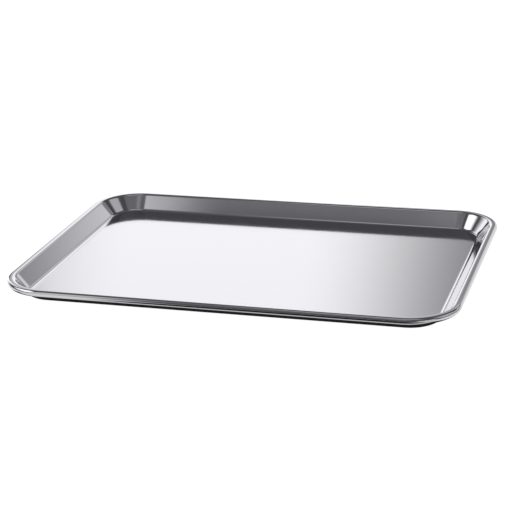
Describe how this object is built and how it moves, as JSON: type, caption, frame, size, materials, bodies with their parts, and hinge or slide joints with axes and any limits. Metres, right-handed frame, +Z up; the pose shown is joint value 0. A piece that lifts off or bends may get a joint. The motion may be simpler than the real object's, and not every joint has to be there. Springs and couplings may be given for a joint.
{
  "type": "counting tray",
  "caption": "Shallow rectangular stainless tray with rounded corners, a flat floor, low sloping walls and a rim curled outward round a stiffening wire.",
  "frame": {"origin": "under the middle of the tray, on the surface it stands on", "axes": "+X along the long side, +Y across, +Z up out of the open top"},
  "size_m": [0.35, 0.25, 0.0132],
  "materials": {
    "satin_stainless": "cold-rolled stainless sheet, satin on the floor and polished on the walls and rim",
    "drawn_wire": "drawn steel wire, dull"
  },
  "bodies": {
    "root": {"tray_pan": "satin_stainless", "rim_wire": "drawn_wire"}
  },
  "joints": []
}
